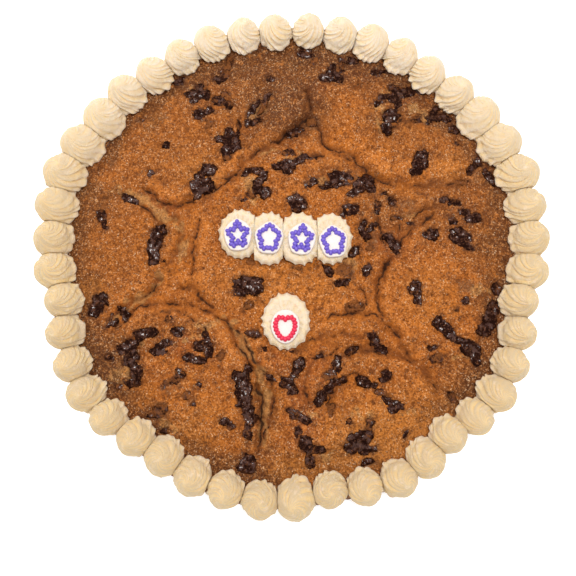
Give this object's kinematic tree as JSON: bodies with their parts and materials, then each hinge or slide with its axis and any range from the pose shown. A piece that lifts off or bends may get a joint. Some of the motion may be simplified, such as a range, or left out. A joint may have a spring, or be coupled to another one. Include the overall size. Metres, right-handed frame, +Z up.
{
  "type": "cookie cake",
  "caption": "Round chocolate chunk cookie cake with a rim of piped cream rosettes and cream dollops carrying sugar decorations in the middle.",
  "frame": {"origin": "on the surface that the cake rests on, under the middle of its ring of rosettes", "axes": "+Z up out of the decorated top, +Y towards the top edge as the decorations are looked at, +X to their right"},
  "size_m": [0.313, 0.3125, 0.0303],
  "materials": {
    "baked_dough": "golden brown baked crumb, slightly sugary",
    "chocolate": "dark chocolate, softly glossy",
    "piped_cream": "cream coloured icing, soft satin",
    "white_sugar": "white moulded sugar under the coloured beads",
    "blue_sugar": "violet blue sugar on white sugar",
    "red_sugar": "red sugar on white sugar"
  },
  "bodies": {
    "root": {"cookie": "baked_dough", "rosette_01": "piped_cream", "rosette_02": "piped_cream", "rosette_03": "piped_cream", "rosette_04": "piped_cream", "rosette_05": "piped_cream", "rosette_06": "piped_cream", "rosette_07": "piped_cream", "rosette_08": "piped_cream", "rosette_09": "piped_cream", "rosette_10": "piped_cream", "rosette_11": "piped_cream", "rosette_12": "piped_cream", "rosette_13": "piped_cream", "rosette_14": "piped_cream", "rosette_15": "piped_cream", "rosette_16": "piped_cream", "rosette_17": "piped_cream", "rosette_18": "piped_cream", "rosette_19": "piped_cream", "rosette_20": "piped_cream", "rosette_21": "piped_cream", "rosette_22": "piped_cream", "rosette_23": "piped_cream", "rosette_24": "piped_cream", "rosette_25": "piped_cream", "rosette_26": "piped_cream", "rosette_27": "piped_cream", "rosette_28": "piped_cream", "rosette_29": "piped_cream", "rosette_30": "piped_cream", "rosette_31": "piped_cream", "rosette_32": "piped_cream", "rosette_33": "piped_cream", "rosette_34": "piped_cream", "rosette_35": "piped_cream", "rosette_36": "piped_cream", "rosette_37": "piped_cream", "rosette_38": "piped_cream", "rosette_39": "piped_cream", "rosette_40": "piped_cream", "rosette_41": "piped_cream", "rosette_42": "piped_cream", "rosette_43": "piped_cream", "rosette_44": "piped_cream", "rosette_45": "piped_cream", "dollop_1": "piped_cream", "dollop_2": "piped_cream", "dollop_3": "piped_cream", "dollop_4": "piped_cream", "dollop_5": "piped_cream", "sugar_star_1": "blue_sugar", "sugar_flower_1": "blue_sugar", "sugar_star_2": "blue_sugar", "sugar_flower_2": "blue_sugar", "sugar_heart": "red_sugar"}
  },
  "joints": []
}
